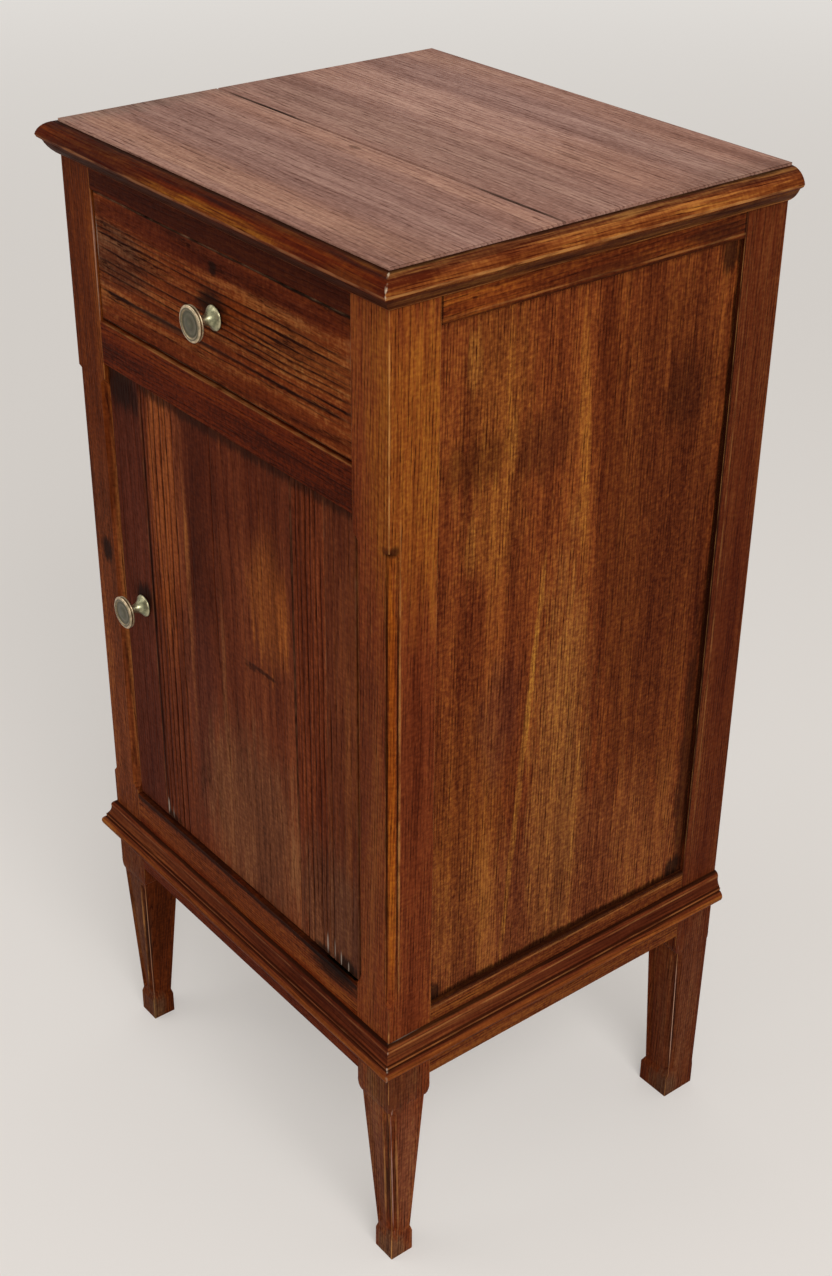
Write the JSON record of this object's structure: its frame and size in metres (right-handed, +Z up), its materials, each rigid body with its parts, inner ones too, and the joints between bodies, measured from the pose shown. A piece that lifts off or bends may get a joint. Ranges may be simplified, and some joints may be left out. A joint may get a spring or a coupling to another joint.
{
  "type": "nightstand",
  "caption": "Tall bedside cabinet in dark oak on tapered fluted legs, with mouldings round the top and low on the case, a drawer over a boarded door, and turned brass knobs.",
  "frame": {"origin": "on the floor, midway between the two sides and midway between the face of the drawer knob and the back", "axes": "+X to the right as seen from the front, +Y from the front to the back, +Z up"},
  "size_m": [0.4074, 0.3556, 0.82],
  "materials": {
    "stained_oak": "dark reddish-brown stain under a worn satin wax",
    "panel_oak": "amber and dark brown streaked stain, satin",
    "moulding_oak": "stained, rubbed amber at the edges",
    "worn_top": "faded pinkish grey-brown, satin",
    "unstained_oak": "unpolished inner wood",
    "aged_brass": "pale brass, tarnished in the hollows",
    "plain_brass": "dull brass"
  },
  "bodies": {
    "case": {"top_front_board": "worn_top", "top_rear_board": "worn_top", "top_moulding_front": "moulding_oak", "top_moulding_left": "moulding_oak", "top_moulding_right": "moulding_oak", "front_left_post": "stained_oak", "front_right_post": "stained_oak", "rear_left_post": "stained_oak", "rear_right_post": "stained_oak", "front_top_rail": "stained_oak", "drawer_rail": "stained_oak", "front_bottom_rail": "stained_oak", "left_top_rail": "stained_oak", "right_top_rail": "stained_oak", "left_bottom_rail": "stained_oak", "right_bottom_rail": "stained_oak", "back_top_rail": "unstained_oak", "back_bottom_rail": "unstained_oak", "left_side_panel": "panel_oak", "right_side_panel": "panel_oak", "back_board_left": "unstained_oak", "back_board_middle": "unstained_oak", "back_board_right": "unstained_oak", "plinth_moulding_front": "moulding_oak", "plinth_moulding_left": "moulding_oak", "plinth_moulding_right": "moulding_oak", "bottom_board": "unstained_oak", "left_bottom_bearer": "unstained_oak", "right_bottom_bearer": "unstained_oak", "dust_board": "unstained_oak", "left_drawer_runner": "unstained_oak", "right_drawer_runner": "unstained_oak", "left_drawer_guide": "unstained_oak", "right_drawer_guide": "unstained_oak", "left_drawer_kicker": "unstained_oak", "right_drawer_kicker": "unstained_oak", "drawer_stops": "unstained_oak", "door_stop_strip": "stained_oak", "top_pivot_plate": "plain_brass", "bottom_pivot_plate": "plain_brass", "catch_strike": "plain_brass", "frame_screws": "plain_brass"},
    "drawer": {"drawer_front": "stained_oak", "drawer_left_side": "unstained_oak", "drawer_right_side": "unstained_oak", "drawer_back": "unstained_oak", "drawer_bottom": "unstained_oak", "drawer_knob": "aged_brass", "drawer_knob_screw": "plain_brass"},
    "door": {"door_left_board": "stained_oak", "door_main_board": "stained_oak", "door_joint_board": "stained_oak", "door_right_board": "stained_oak", "door_top_batten": "unstained_oak", "door_bottom_batten": "unstained_oak", "door_knob": "aged_brass", "door_knob_screw": "plain_brass", "door_pivots": "plain_brass", "door_batten_screws": "plain_brass", "door_catch": "plain_brass"}
  },
  "joints": [
    {"name": "drawer_slide", "type": "slide", "parent": "case", "child": "drawer", "axis": [0, -1, 0], "range_m": [0, 0.22]},
    {"name": "door_hinge", "type": "hinge", "parent": "case", "child": "door", "pos_m": [0.1425, -0.15145, 0.455], "axis": [0, 0, 1], "range_deg": [0, 105]}
  ]
}
